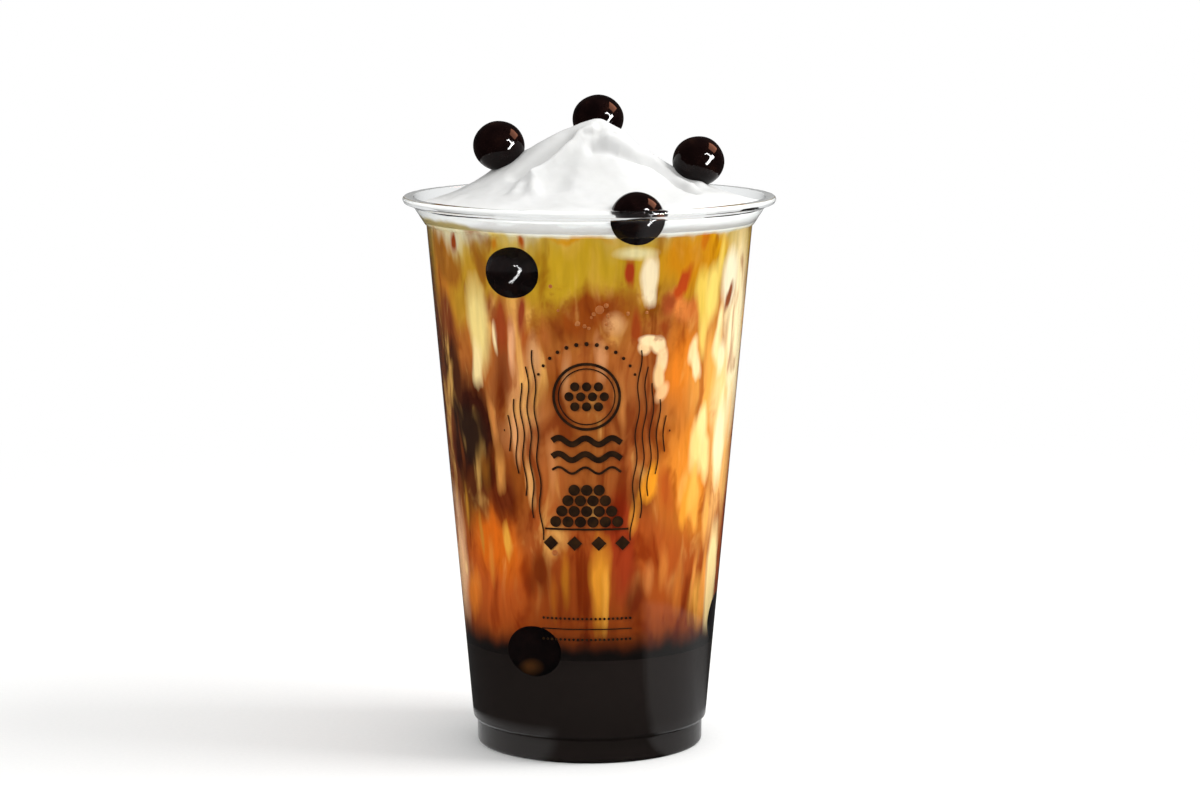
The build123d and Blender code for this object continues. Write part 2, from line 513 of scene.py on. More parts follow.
def dot(way, level, radius, corners=20):
    """A filled dot, or with four corners a diamond, as pairs from its left to its right."""
    pairs = []
    for i in range(corners // 2 + 1):
        a = pi - 2 * pi * i / corners
        x, y = radius * cos(a), radius * sin(a)
        pairs.append((Vector((way + x, level + y)), Vector((way + x, level - y))))
    return pairs


def print_marks():
    """A plain pattern of pearls and waves: a double ring round a cluster of pearls with a row of
    dots over it, two waves, a pile of pearls, four diamonds, and a rule between dotted lines,
    with thin wavy lines on both sides."""
    middle, ring_level, arch_radius = -0.6, 94.6, 13.2
    marks = []
    for radius, half_width in ((8.2, 0.35), (7.0, 0.16)):
        marks.append(stroke(ring_path(middle, ring_level, radius), half_width, closed=True))
    for row, count in enumerate((3, 4, 3)):
        for i in range(count):
            marks.append(dot(middle + 2.9 * (i - (count - 1) / 2), 97.1 - 2.5 * row, 1.15))
    for i in range(13):
        angle = radians(90 + 11 * (i - 6))
        size = 0.55 - 0.03 * abs(i - 6)
        way, level = middle + arch_radius * cos(angle), ring_level + arch_radius * sin(angle)
        marks.append(dot(way, level, size))
    for level, half_width in ((83.4, 0.75), (79.4, 0.75), (76.0, 0.3)):
        wave = [(middle - 8.6 + 0.4 * i, level + 0.8 * sin(0.95 * 0.4 * i)) for i in range(44)]
        marks.append(stroke(wave, half_width))
    for row in range(4):
        for i in range(6 - row):
            marks.append(dot(middle + 3.1 * (i - (5 - row) / 2), 62.9 + 2.7 * row, 1.42))
    marks.append(stroke(level_line(middle, 61.0, 10.5), 0.25))
    for i in range(4):
        marks.append(dot(middle - 9 + 6 * i, 57.4, 1.9, corners=4))
    for level in (38.0, 32.6):
        marks += [dot(middle - 11 + 1.1 * i, level, 0.34, corners=10) for i in range(21)]
    marks.append(stroke(level_line(middle, 35.3, 11.4), 0.14))
    for side in (-1, 1):
        for i in range(6):
            low, high = 58 + 5.5 * i, 106 - 4.2 * i
            steps = 48
            line = []
            for k in range(steps + 1):
                level = low + (high - low) * k / steps
                sway = 0.4 * sin(level * 0.5) + 0.05 * (level - 82)
                line.append((middle + side * (12.4 + 1.9 * i + sway), level))
            marks.append(stroke(line, 0.17))
    return marks


def make_print(material, thickness=0.06):
    """The marks, wrapped on the wall."""
    points, faces = [], []
    for pairs in print_marks():
        first = len(points)
        for upper, lower in pairs:
            for out in (0.0, thickness):
                points += [on_wall(*upper, out), on_wall(*lower, out)]
        for k in range(len(pairs) - 1):
            a, b = first + 4 * k, first + 4 * (k + 1)
            for i, j in ((2, 3), (3, 1), (1, 0), (0, 2)):
                faces.append((a + i, a + j, b + j, b + i))
        last = len(points) - 4
        faces += [(first, first + 1, first + 3, first + 2), (last + 2, last + 3, last + 1, last)]
    marks = new_object("printed_marks", points, faces, material)
    marks.data.shade_flat()


# ---- The drink ----
round_radius = 36.0  # the circle that a way round the cup is measured on
syrup_black, syrup_brown = "#1b1614", "#3a1d12"
border_levels = (tea_level - 1.4, tea_level + 0.1)  # where tea gives way to cream at the wall
# The drink's own colour from its foot up, between its streaks: height in mm and sRGB value.
tea_levels = [
    (24, "#7a3615"),
    (34, "#98471c"),
    (52, "#a04b1e"),
    (70, "#a8592a"),
    (88, "#a96534"),
    (104, "#a8602c"),
    (113, "#a5642a"),
    (121, "#b58b28"),
    (129, "#bd9828"),
    (134, "#c0a458"),
    (136.5, "#cdc4a0"),
]
# Soft clouds of syrup and milk by the wall, with painted shade on the cup's left edge and, in
# part, a painted highlight on its right edge: angle round the cup, height, half width and half
# height in mm, lean in degrees, sRGB value and firmness.
clouds_edge_shade_and_highlight = [
    # Painted shade, these first two: they darken the cup's left edge, which is turned away from the
    # light.
    (-80, 100, 10, 60, 0, "#5e2e12", 1.4),
    (-78, 62, 9, 30, 0, "#7a3a18", 1.4),
    (-52, 86, 12, 21, 4, "#3a160a", 2.2),
    (-57, 72, 11, 15, 0, "#3e1b0b", 2.3),
    (-56, 62, 9, 12, 0, "#7d4a18", 1.2),
    (-28, 95, 9, 18, 0, "#c88c56", 1.6),
    (-36, 96, 5, 14, 0, "#84431b", 1.4),
    (-33, 72, 11, 14, 0, "#94501e", 1.6),
    (46, 74, 17, 22, 0, "#e38e34", 1.4),
    (36, 99, 8, 14, -10, "#da7f2a", 1.6),
    (52, 97, 10, 18, 0, "#eba850", 1.4),
    (66, 78, 9, 30, 0, "#f6bd72", 1.6),
    # Partly pale milk and partly painted highlight: the bright strip down the cup's right edge.
    (68, 118, 9, 24, 0, "#ecd6a0", 1.6),
    (42, 113, 9, 5.5, 0, "#c46f34", 1.6),
    (-16, 47, 12, 15, 0, "#95441a", 1.5),
    (-44, 44, 16, 18, 0, "#b85824", 1.8),
    (32, 46, 18, 18, 0, "#b85a26", 1.4),
    (14, 54, 6, 16, 0, "#9c3b1d", 1.8),
    (-8, 128, 16, 10, 0, "#bb9726", 1.6),
    (-44, 127, 10, 9, 0, "#b58a2c", 1.4),
    (-64, 124, 6, 16, 0, "#b87428", 1.5),
    (44, 131, 9, 6, 0, "#d8a01c", 1.8),
    (1, 116, 13, 8, 0, "#8e4416", 1.8),
    (2, 70, 12, 8, 0, "#9a5426", 1.2),
    (0, 84, 13, 20, 0, "#9c5826", 1.3),
    (-44, 55, 13, 12, 0, "#cc661e", 1.6),
    (37, 127, 11, 11, 0, "#c8861c", 1.8),
    (-66, 101, 5.5, 18, 0, "#46220f", 1.9),
    (-58, 84, 9, 14, 0, "#2a150d", 2.0),
    (-52, 68, 7, 9, 0, "#662f14", 1.6),
    (-61, 131, 7, 7, 0, "#9c6220", 2.2),
    (-50, 122, 7, 6, 0, "#ac8028", 1.5),
    (-77, 50, 8, 20, 0, "#eec094", 2.0),
    # Partly pale milk and partly painted highlight: the bright strip down the cup's right edge.
    (72, 104, 9, 26, 0, "#fcecc0", 1.7),
    (60, 94, 6, 11, 0, "#fbd292", 1.5),
    (22, 65, 4, 8, 0, "#84431b", 1.5),
    (22, 42, 4, 9, 0, "#7c3014", 1.5),
    (33, 114, 5, 5, 0, "#d98441", 1.6),
    (-15, 98, 6, 9, 0, "#94501f", 1.3),
    (-39, 70, 6, 10, 0, "#6e3014", 1.9),
    (-39, 114, 5, 7, 0, "#93522a", 1.6),
    (-63, 42, 5, 7, 0, "#d87a2c", 1.8),
    (-64, 114, 5, 9, 0, "#7c3e1e", 1.7),
    (57, 42, 5, 9, 0, "#e8a84c", 1.7),
    (-50, 74, 6, 8, 0, "#46220f", 1.9),
    (-27, 113, 4, 7, 0, "#a04c22", 1.4),
]
# Firmer streaks with ragged edges, and some painted highlights, in the same way.
streaks_and_highlights = [
    (-55, 131, 1.7, 3.6, 8, "#8f3f1c", 1.8),
    (-42.4, 126, 1.8, 5.4, 0, "#8f5a1e", 1.4),
    (-23.5, 132, 1.4, 2.6, 0, "#a8501c", 1.4),
    (-34, 132, 1.6, 2.6, 0, "#b8741e", 1.4),
    (-3.7, 133.4, 8.5, 1.3, 0, "#c98f24", 1.4),
    (15, 125, 1.5, 5.6, 0, "#a23a1c", 2.0),
    (44, 133, 1.8, 2.4, 0, "#c8741c", 1.6),
    (54, 129, 1.4, 8.0, 0, "#e2c25a", 1.6),
    (-44.5, 111, 4.2, 13, 4, "#dcc680", 1.8),
    (-46, 101, 2.2, 7, -5, "#e9d49a", 1.8),
    (-36, 108, 1.0, 5.0, 0, "#ecd6a4", 1.6),
    (-33, 112.5, 2.4, 8.5, 0, "#92401f", 1.6),
    (-25, 115, 1.7, 6.6, 0, "#8c3c22", 1.5),
    (-29, 106, 1.4, 9, 0, "#dba274", 1.5),
    (-20, 104, 2.0, 8, 0, "#cf9866", 1.3),
    (-16, 110, 2.4, 5, 0, "#a8602c", 1.2),
    (22.3, 124.5, 2.6, 7.4, 0, "#eddcb8", 2.6),
    (35, 122, 1.6, 7.4, -22, "#b4471e", 2.0),
    (30, 116.5, 2.4, 3.0, 0, "#a8502a", 1.6),
    (45.5, 117, 2.8, 11.0, 5, "#e2c258", 1.8),
    (50.5, 120, 3.0, 10.0, -4, "#ecd070", 1.9),
    (47, 109, 1.7, 7.0, 3, "#e8c466", 1.6),
    (56, 110, 1.8, 6.0, 0, "#f1dfa6", 1.6),
    # Partly pale milk and partly painted highlight: the bright strip down the cup's right edge.
    (61, 122, 4.4, 9.5, 0, "#f3e8c8", 2.0),
    (61, 116.5, 1.5, 5.0, -14, "#8c4a2c", 2.0),
    (18, 111.5, 1.7, 5.6, 0, "#96401a", 1.8),
    (27.5, 112, 1.8, 2.4, 0, "#96451c", 1.6),
    (42, 105, 1.9, 4.6, -9, "#f4d8a0", 1.9),
    (44.5, 102, 1.7, 4.2, 12, "#f7e0ac", 1.8),
    (55.5, 104, 2.0, 6.0, 6, "#f6dea6", 1.8),
    (59, 101, 2.0, 5.5, -6, "#fbe9bc", 1.9),
    (5, 104, 1.6, 7, 4, "#c98c5c", 1.2),
    (-8, 100, 1.5, 8, -3, "#bd8252", 1.2),
    (12, 92, 1.8, 9, 2, "#c07a3e", 1.2),
    (20, 86, 1.6, 8, 0, "#9a4c1e", 1.4),
    (-56, 70, 2.8, 7.0, 0, "#52260f", 1.6),
    (-62, 80, 1.0, 9, 3, "#6a3414", 1.3),
    (-46, 74, 1.8, 8.0, 5, "#7d4a18", 1.2),
    (-40, 88, 1.4, 10, 6, "#c07c40", 1.6),
    (-38, 74, 1.6, 8, -3, "#c88844", 1.4),
    (-30, 84, 1.8, 9, 4, "#d99c66", 1.6),
    (-24, 72, 1.5, 8, 4, "#dba060", 1.6),
    (-15, 78, 1.4, 9, 3, "#bf7c48", 1.2),
    (47.5, 80, 3.2, 10.0, -5, "#fbd488", 2.0),
    (52.5, 78, 3.0, 8.0, 6, "#fddc94", 2.0),
    (50, 85, 2.6, 7.0, 0, "#ffe09c", 1.8),
    (41, 71, 2.0, 6.0, -8, "#f0a850", 1.8),
    (64, 80, 3.8, 14, 0, "#fff0c0", 2.2),
    (24.5, 71.4, 3.2, 5.6, -6, "#f2a030", 2.0),
    (19, 64, 2.0, 6, -8, "#d88c36", 1.5),
    (43.5, 66, 2.4, 8.0, -7, "#f0a43c", 1.8),
    (47.5, 68, 2.8, 7.0, 5, "#f8b856", 1.9),
    (49.5, 63, 1.6, 6.0, 0, "#f4ae4c", 1.6),
    (33, 69, 2.6, 8.0, 4, "#b85a24", 1.5),
    (57, 62, 2.4, 10, 0, "#f3b45e", 1.5),
    (-62, 64, 1.4, 7, 0, "#b07a28", 1.6),
    (-52, 58, 1.4, 7, 4, "#b5762a", 1.6),
    (-37, 56, 1.7, 5.5, 4, "#dca040", 1.8),
    (-46, 50, 1.4, 8, 0, "#c87a30", 1.5),
    (-21.5, 49, 4.4, 8.5, 0, "#76300f", 1.6),
    (-11, 48, 1.6, 10, 0, "#b06a20", 1.5),
    (-16, 42, 1.2, 8, 0, "#a85a1e", 1.3),
    (4.5, 47, 3.4, 15, 0, "#dc9432", 1.6),
    (7, 42, 1.4, 10, 0, "#eaa642", 1.6),
    (15.5, 51, 3.2, 10.5, 0, "#a03c1e", 1.6),
    (26, 47, 2.2, 6, 0, "#cc7c40", 1.4),
    (33.5, 50, 2.0, 7, 3, "#cf7c38", 1.4),
    (42, 44, 1.6, 9, 0, "#d07a34", 1.3),
    (52, 46, 1.4, 9, 0, "#e59a4a", 1.4),
    (60, 42, 2.0, 14, 0, "#f0a44e", 1.7),
    (68, 43, 4.4, 20, 0, "#ffe4a6", 2.6),
    # Painted highlight: a small glint low on the cup's left.
    (-69, 47.6, 1.0, 2.6, 0, "#f0c890", 1.6),
    (-54, 84, 8, 8, 0, "#2c1a10", 1.7),
    (-61, 98, 3, 9, 0, "#46220f", 1.6),
    (92, 96, 4.0, 22, 0, "#f6dca0", 1.8),
    (104, 66, 5.0, 16, 0, "#a8501f", 1.6),
    (118, 108, 5.0, 14, 6, "#8a3c1c", 1.8),
    (131, 90, 3.4, 20, -5, "#f2d49a", 2.2),
    (146, 62, 6.0, 18, 0, "#4a2010", 2.0),
    (160, 116, 4.0, 10, 0, "#efdcaa", 2.0),
    (172, 84, 3.6, 16, 4, "#e8a250", 1.8),
    (-172, 100, 6.0, 18, -6, "#5a2612", 1.8),
    (-158, 68, 3.0, 20, 0, "#f0c27c", 1.8),
    (-146, 112, 4.0, 11, 0, "#f0dfb2", 2.0),
    (-134, 84, 6.0, 22, 5, "#3a180e", 2.2),
    (-120, 56, 3.4, 16, 0, "#d98e38", 1.8),
    (-110, 104, 3.0, 16, 0, "#e6c88a", 2.0),
]
# Calm patches of milk with soft edges, in the same way.
milk_patches = [
    (16.5, 130.2, 6.0, 2.0, 0, "#ddd09c", 1.5),
    (9.5, 112.6, 3.0, 3.6, 8, "#d4a06a", 1.3),
    (20.6, 106.6, 1.7, 2.2, 0, "#f0cc9a", 2.2),
    (22.6, 108.4, 2.8, 1.7, -8, "#f6d8a8", 2.6),
    (25.8, 107.2, 2.2, 2.6, 0, "#f6d8a8", 2.6),
    (27.6, 103.4, 1.9, 4.2, -4, "#f4d2a0", 2.4),
    (26.6, 99.0, 1.8, 4.4, 6, "#f0c890", 2.2),
    (28.4, 95.2, 1.9, 3.6, -26, "#eebd86", 2.0),
]
# Where milk and syrup churned, in the same way but with no colour.
churned_patch = (6, 113, 26, 12, 0, 2.0)


def flat_place(tree):
    """The place in space in mm, and on the cup's side: X is the way round from the front in mm
    along a circle of round_radius, and Y is the height in mm."""
    place = add(tree, "TexCoord")
    space = add(tree, "VectorMath", {0: place.outputs["Object"], "Scale": 1 / MM}, operation="SCALE")
    parts = add(tree, "SeparateXYZ", {0: space})
    ahead = add(tree, "Math", {0: parts.outputs["Y"], 1: -1.0}, operation="MULTIPLY")
    angle = add(tree, "Math", {0: parts.outputs["X"], 1: ahead}, operation="ARCTAN2")
    way = add(tree, "Math", {0: angle, 1: round_radius}, operation="MULTIPLY")
    flat = add(tree, "CombineXYZ", {"X": way, "Y": parts.outputs["Z"]})
    return space, flat


def swirls(tree, space, size, stretch, **inputs):
    """Noise with features of a size in mm across, drawn out upwards by stretch."""
    scale = (1 / size, 1 / size, 1 / (size * stretch))
    where = add(tree, "VectorMath", {0: space, 1: scale}, operation="MULTIPLY")
    return add(tree, "TexNoise", {"Vector": where, "Scale": 1.0} | inputs)


def dragged(tree, place, drift, push):
    """A place moved by a noise's colour, up to about half of push each way."""
    centred = add(tree, "VectorMath", {0: drift, 1: (0.5, 0.5, 0.5)}, operation="SUBTRACT")
    amount = add(tree, "VectorMath", {0: centred, 1: push}, operation="MULTIPLY")
    return add(tree, "VectorMath", {0: place, 1: amount}, operation="ADD")


def patch(tree, flat, angle, height, half_width, half_height, lean, firmness):
    """How far a soft round patch covers each place: 1 in its middle and 0 outside."""
    spot = add(
        tree,
        "Mapping",
        {
            "Vector": flat,
            "Location": (radians(angle) * round_radius, height, 0),
            "Rotation": (0, 0, radians(lean)),
            "Scale": (half_width, half_height, 1),
        },
        vector_type="TEXTURE",
    )
    fade = add(tree, "TexGradient", {"Vector": spot}, gradient_type="SPHERICAL")
    firm = add(
        tree, "Math", {0: fade.outputs["Fac"], 1: firmness}, operation="MULTIPLY", use_clamp=True
    )
    return firm


def paint(tree, below, flat, patches):
    """Lays soft patches, such as the clouds and streaks, over a colour."""
    for *shape, code, firmness in patches:
        cover = {0: patch(tree, flat, *shape, firmness), 6: below, 7: colour(code)}
        below = add(tree, "Mix", cover, data_type="RGBA").outputs[2]
    return below


def over_height(tree, place, low, high):
    """Rises from 0 to 1 between two heights of a place in mm, or falls if low is the upper."""
    parts = add(tree, "SeparateXYZ", {0: place})
    rise = add(
        tree,
        "MapRange",
        {"Value": parts.outputs["Y"], "From Min": low, "From Max": high},
        interpolation_type="SMOOTHSTEP",
    )
    return rise


def border_place(tree, flat, tear):
    """The flat place with the border of tea and cream made level: it lies 2.4 mm higher on the
    cup's left than in front, and it is uneven by a millimetre."""
    parts = add(tree, "SeparateXYZ", {0: flat})
    rise = add(
        tree,
        "MapRange",
        {"Value": parts.outputs["X"], "From Min": -8.0, "From Max": -40.0, "To Max": -2.4},
        interpolation_type="SMOOTHSTEP",
    )
    shift = add(tree, "CombineXYZ", {"Y": rise})
    level = add(tree, "VectorMath", {0: flat, 1: shift}, operation="ADD")
    return dragged(tree, level, tear, (0, 2.2, 0))


def milk_tea():
    """Milk poured over brown sugar syrup and not stirred: syrup runs down the wall in reddish
    streaks, milk pushes pale flames between them, and the two blur where they mix."""
    material, tree = new_material("milk_tea_streaked_with_syrup")
    space, flat = flat_place(tree)
    # Broad swirls 22 mm wide, torn edges at 6 mm and frayed ones at 2 mm.
    swirl = swirls(tree, space, 22.0, 2.6, Detail=2.0).outputs["Color"]
    tear = swirls(tree, space, 6.0, 3.2, Detail=2.0).outputs["Color"]
    fray = swirls(tree, space, 1.8, 6.0, Detail=2.0).outputs["Color"]
    torn = dragged(tree, flat, tear, (3.8, 9.0, 0))
    torn = dragged(tree, torn, fray, (1.2, 3.0, 0))
    bent = dragged(tree, torn, swirl, (9.0, 24.0, 0))

    height = add(tree, "SeparateXYZ", {0: bent})
    share = add(
        tree, "MapRange", {"Value": height.outputs["Y"], "From Min": 0.0, "From Max": cup_height}
    )
    own = add(tree, "ValToRGB", {"Fac": share})
    set_ramp(own, [(level / cup_height, code) for level, code in tea_levels])
    # The clouds also paint shade on the left edge and, in part, the bright strip down the right edge.
    tint = paint(tree, own, bent, clouds_edge_shade_and_highlight)

    # Marbling all over: where the noise is low syrup stains, and where it is high milk shows.
    marble = swirls(tree, space, 6.5, 3.2, Detail=3.0, Roughness=0.5, Distortion=0.7)
    syrupy = add(
        tree,
        "MapRange",
        {"Value": marble.outputs["Fac"], "From Min": 0.5, "From Max": 0.32, "To Max": 0.7},
        interpolation_type="SMOOTHSTEP",
    )
    stain = {0: syrupy, 6: tint, 7: colour("#ac6644")}
    tint = add(tree, "Mix", stain, data_type="RGBA", blend_type="MULTIPLY").outputs[2]
    milky = add(
        tree,
        "MapRange",
        {"Value": marble.outputs["Fac"], "From Min": 0.52, "From Max": 0.74, "To Max": 0.65},
        interpolation_type="SMOOTHSTEP",
    )
    # The syrup at the bottom holds no milk, and the golden top is calmer than the middle.
    high = over_height(tree, bent, 36.0, 62.0)
    calm = over_height(tree, bent, 124.0, 116.0)
    milky = add(tree, "Math", {0: milky, 1: high}, operation="MULTIPLY")
    calm = add(tree, "Math", {0: calm, 1: 0.65, 2: 0.35}, operation="MULTIPLY_ADD")
    milky = add(tree, "Math", {0: milky, 1: calm}, operation="MULTIPLY")
    milk = {0: milky, 6: tint, 7: colour("#f2bc66")}
    tint = add(tree, "Mix", milk, data_type="RGBA").outputs[2]
    # The streaks include painted highlights on the wall.
    tint = paint(tree, tint, torn, streaks_and_highlights)
    tint = paint(tree, tint, dragged(tree, flat, tear, (1.6, 1.6, 0)), milk_patches)

    # Where milk and syrup churned there are brown blotches 3 mm across.
    churned = swirls(tree, space, 3.0, 1.2, Detail=4.0, Roughness=0.65)
    blotch = add(
        tree,
        "MapRange",
        {"Value": churned.outputs["Fac"], "From Min": 0.5, "From Max": 0.36, "To Max": 0.55},
    )
    band = patch(tree, torn, *churned_patch)
    amount = add(tree, "Math", {0: blotch, 1: band}, operation="MULTIPLY")
    brown = {0: amount, 6: tint, 7: colour("#8c431b")}
    tint = add(tree, "Mix", brown, data_type="RGBA").outputs[2]

    # Fine upright threads, a millimetre apart, lighten and darken everything a little.
    threads = swirls(tree, space, 1.4, 12.0, Detail=3.0)
    shade = add(
        tree,
        "MapRange",
        {
            "Value": threads.outputs["Fac"],
            "From Min": 0.3,
            "From Max": 0.7,
            "To Min": 0.92,
            "To Max": 1.08,
        },
    )
    tuned = add(tree, "HueSaturation", {"Color": tint, "Value": shade, "Saturation": 1.01})

    # The syrup at the bottom: its edge is blurred over a few millimetres and uneven.
    edge = dragged(tree, flat, tear, (0, 4.5, 0))
    low = {0: over_height(tree, edge, 35.0, 28.5), 6: tuned, 7: colour(syrup_brown)}
    tint = add(tree, "Mix", low, data_type="RGBA").outputs[2]
    dark = {0: over_height(tree, edge, 30.4, 28.0), 6: tint, 7: colour(syrup_black)}
    tint = add(tree, "Mix", dark, data_type="RGBA").outputs[2]
    # At its top it pales into the cream.
    border = border_place(tree, flat, tear)
    top = {0: over_height(tree, border, *border_levels), 6: tint, 7: colour("#dedbd0")}
    tint = add(tree, "Mix", top, data_type="RGBA").outputs[2]
    shader = add(
        tree,
        "BsdfPrincipled",
        {"Base Color": tint, "Roughness": 0.5, "IOR": 1.33, "Specular IOR Level": 0.0},
    )
    add(tree, "OutputMaterial", {"Surface": shader})
    return material


def wall_line(low, high, steps):
    """Places just inside the cup's wall, from one height to another."""
    levels = [low + (high - low) * i / steps for i in range(steps + 1)]
    return [Vector((inner_radius(level) + into_wall, level)) for level in levels]


def make_drink(material):
    """The syrup and the milk tea, each as far as its CAD layer, and both a hair into the wall."""
    foot = rounded(
        [
            (0, punt_height + wall - into_wall, 0),
            (punt_edge + wall, punt_height + wall - into_wall, 1.4),
            (foot_inner + wall, wall - into_wall, 0.6),
            (base_radius - wall + into_wall, wall - into_wall, 0.9),
            (base_radius - wall + into_wall, step_level, 0.35),
            (shoulder_radius - wall + into_wall, shoulder_level, 0.9),
            (inner_radius(syrup_level) + into_wall, syrup_level, 0),
        ]
    )
    syrup = lathe("syrup_fill", [*foot, Vector((0, syrup_level))], material)
    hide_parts("brown_sugar_syrup")
    drink_lit.objects.link(syrup)
    side = wall_line(syrup_level, neck_level, 4) + wall_line(neck_level, tea_level, 2)[1:]
    outline = [Vector((0, syrup_level)), *side, Vector((0, tea_level))]
    tea = lathe("milk_tea_fill", outline, material)
    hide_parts("milk_tea")
    drink_lit.objects.link(tea)


# Air bubbles that stick to the wall in the tea: the angle and height where most are, how far they
# spread, and the angle, height and radius of the biggest.
bubble_middle, bubble_spread, bubble_count = (4.0, 114.0), (9.0, 2.4), 14
big_bubbles = [(3.8, 116.3, 1.05), (-14.4, 54.8, 0.8), (-13.6, 122.0, 0.5)]
bubble_sizes = (0.3, 0.6)


def bubbly_tea():
    """Air bubbles in milk tea: they show the brown tea through their middles, and a pale milky
    rim where the film is seen edge-on."""
    material, tree = new_material("air_bubbles_in_milk_tea")
    place = add(tree, "TexCoord")
    # The milk in the film clouds over about 5 mm.
    stops = [(0.4, "#a05a2c"), (0.65, "#b27440")]
    tint = mottled(tree, place.outputs["Object"], 1 / (5 * MM), stops, detail=2.0)
    rim = add(tree, "LayerWeight", {"Blend": 0.35})
    film = {0: rim.outputs["Facing"], 6: tint, 7: colour("#d8a06c")}
    both = add(tree, "Mix", film, data_type="RGBA")
    shader = add(
        tree,
        "BsdfPrincipled",
        {"Base Color": both.outputs[2], "Roughness": 0.3, "IOR": 1.33, "Specular IOR Level": 0.1},
    )
    add(tree, "OutputMaterial", {"Surface": shader})
    return material


def make_bubbles(material):
    """Shallow domes on the tea's surface, which lies a hair inside the wall."""
    draw = Random(7)
    spots = list(big_bubbles)
    for _ in range(bubble_count):
        angle = draw.gauss(bubble_middle[0], bubble_spread[0])
        level = draw.gauss(bubble_middle[1], bubble_spread[1])
        spots.append((angle, level, draw.uniform(*bubble_sizes)))
    rings, turns = 4, 14
    rise = 0.14  # how far a dome stands out
    points, faces = [], []
    for angle, level, radius in spots:
        first = len(points)
        out = inner_radius(level) + into_wall
        for k in range(-1, rings + 1):
            # From a rim sunk in the tea to the top of the dome.
            tilt = pi / 2 * k / rings
            for i in range(turns):
                turn = 2 * pi * i / turns
                way = radians(angle) + radius * cos(tilt) * cos(turn) / out
                height = level + radius * cos(tilt) * sin(turn)
                reach = inner_radius(height) + into_wall + rise * sin(tilt)
                points.append(around(way, reach, height))
        for k in range(rings + 1):
            a, b = first + k * turns, first + (k + 1) * turns
            for i in range(turns):
                j = (i + 1) % turns
                faces.append((a + i, a + j, b + j, b + i))
        faces.append([first + i for i in reversed(range(turns))])
    bubbles = new_object("tea_bubbles", points, faces, material)
    drink_lit.objects.link(bubbles)


# ---- The cream ----
def whipped_cream():
    """Half-whipped cream: dense white and soft, so that light spreads under its skin and the
    folds stay pale, with a faint wet sheen."""
    material, tree = new_material("half_whipped_cream")
    space, flat = flat_place(tree)
    # Swells 9 mm across, and specks of air a millimetre across.
    tint = mottled(tree, space, 1 / 9.0, [(0.3, "#d3d3d1"), (0.7, "#dadad9")])
    specks = add(tree, "TexNoise", {"Vector": space, "Scale": 1 / 1.1, "Detail": 2.0})
    # Towards the wall it is painted whiter: painted light, standing in for light bounced onto the cream
    # there.
    flat_out = add(tree, "VectorMath", {0: space, 1: (1, 1, 0)}, operation="MULTIPLY")
    out = add(tree, "VectorMath", {0: flat_out}, operation="LENGTH")
    rim = add(tree, "MapRange", {"Value": out.outputs["Value"], "From Min": 33.0, "From Max": 43.0})
    painted_bounce_light = {0: rim, 6: tint, 7: colour("#efeeec")}
    tint = add(tree, "Mix", painted_bounce_light, data_type="RGBA")
    # By the wall the cream takes the colour of the milk tea under it.
    tear = swirls(tree, space, 6.0, 3.2, Detail=2.0).outputs["Color"]
    border = border_place(tree, flat, tear)
    stained = over_height(tree, border, *reversed(border_levels))
    stain = {0: stained, 6: tint.outputs[2], 7: colour("#c4b178")}
    base = add(tree, "Mix", stain, data_type="RGBA").outputs[2]
    relief = add(tree, "Bump", {"Height": specks.outputs["Fac"], "Strength": 0.12, "Distance": 0.2 * MM})
    shader = add(
        tree,
        "BsdfPrincipled",
        {
            "Base Color": base,
            "Roughness": 0.4,
            "IOR": 1.36,
            "Specular IOR Level": 0.12,
            "Subsurface Weight": 0.3,
            "Subsurface Radius": (1.0, 0.95, 0.9),
            "Subsurface Scale": 0.8 * MM,
            "Normal": relief,
        },
    )
    add(tree, "OutputMaterial", {"Surface": shader})
    return material


# The mound's peak, how far it spreads each way from there, and how sharp its shoulder is.
peak_place, peak_height, edge_swell = Vector((2.8, 1.0)), 20.0, 2.6
left_spread, right_spread = (24.5, 2.0), (18.5, 1.4)
front_spread, back_spread = (17.0, 1.35), (18.0, 1.8)
hump_place, hump_height, hump_width = Vector((-21, 10)), 2.6, 9  # a low hump behind on the left
# Creases that run out from the peak: direction, depth, half width, and where they start and end.
creases = [(-17, 1.2, 3.0, 4, 29), (203, 1.3, 3.2, 7, 25)]
# Rolled edges, drips and folds of the cream: the line each follows, half width and height.
cream_rolls = [
    ([(0.6, -3), (-2.7, -4), (-5.7, -7), (-8.7, -9.5), (-11.4, -10.9), (-13.7, -12.5)], 1.4, 1.3),
    ([(-13.7, -12.5), (-13.9, -16), (-13.8, -20)], 1.8, 1.2),
    ([(-16.4, -12), (-18.8, -18)], 1.5, 0.7),
    ([(-5.5, -3.6), (-9.2, -5), (-14, -6.4), (-18, -8)], 1.7, -1.7),
    ([(7.9, -0.4), (11, -0.9), (16.6, -0.8), (22, -1.5), (27.5, -5)], 2.0, 1.2),
    ([(5, -4.2), (10.5, -4), (15, -3), (19.5, -4.6), (25, -10.5)], 1.9, 1.2),
    ([(1, -7.4), (7.9, -7.6), (11.5, -6.8), (16, -5.4), (20, -7.6), (25.5, -15)], 1.6, -1.9),
    ([(-1.2, -4.2), (2.4, -3.8), (5.9, -3)], 0.7, -0.6),
    ([(-6, -13), (-8, -19)], 3.4, -0.8),
    ([(-33, -12), (-22, -26)], 4.0, 0.6),
    ([(24, -20), (33, -9)], 4.5, 0.7),
]
cream_level = cup_height - 3.4
cream_edge = cup_height - 4.9  # where its side starts down the wall
front_dip = 0.8  # how much lower it stands at the front
cream_radius = inner_radius(cream_level) + into_wall


def distance_to(place, start, end):
    """How far a place is from a straight run."""
    start, end = Vector(start), Vector(end)
    share = (place - start).dot(end - start) / (end - start).length_squared
    return (place - start.lerp(end, min(max(share, 0), 1))).length


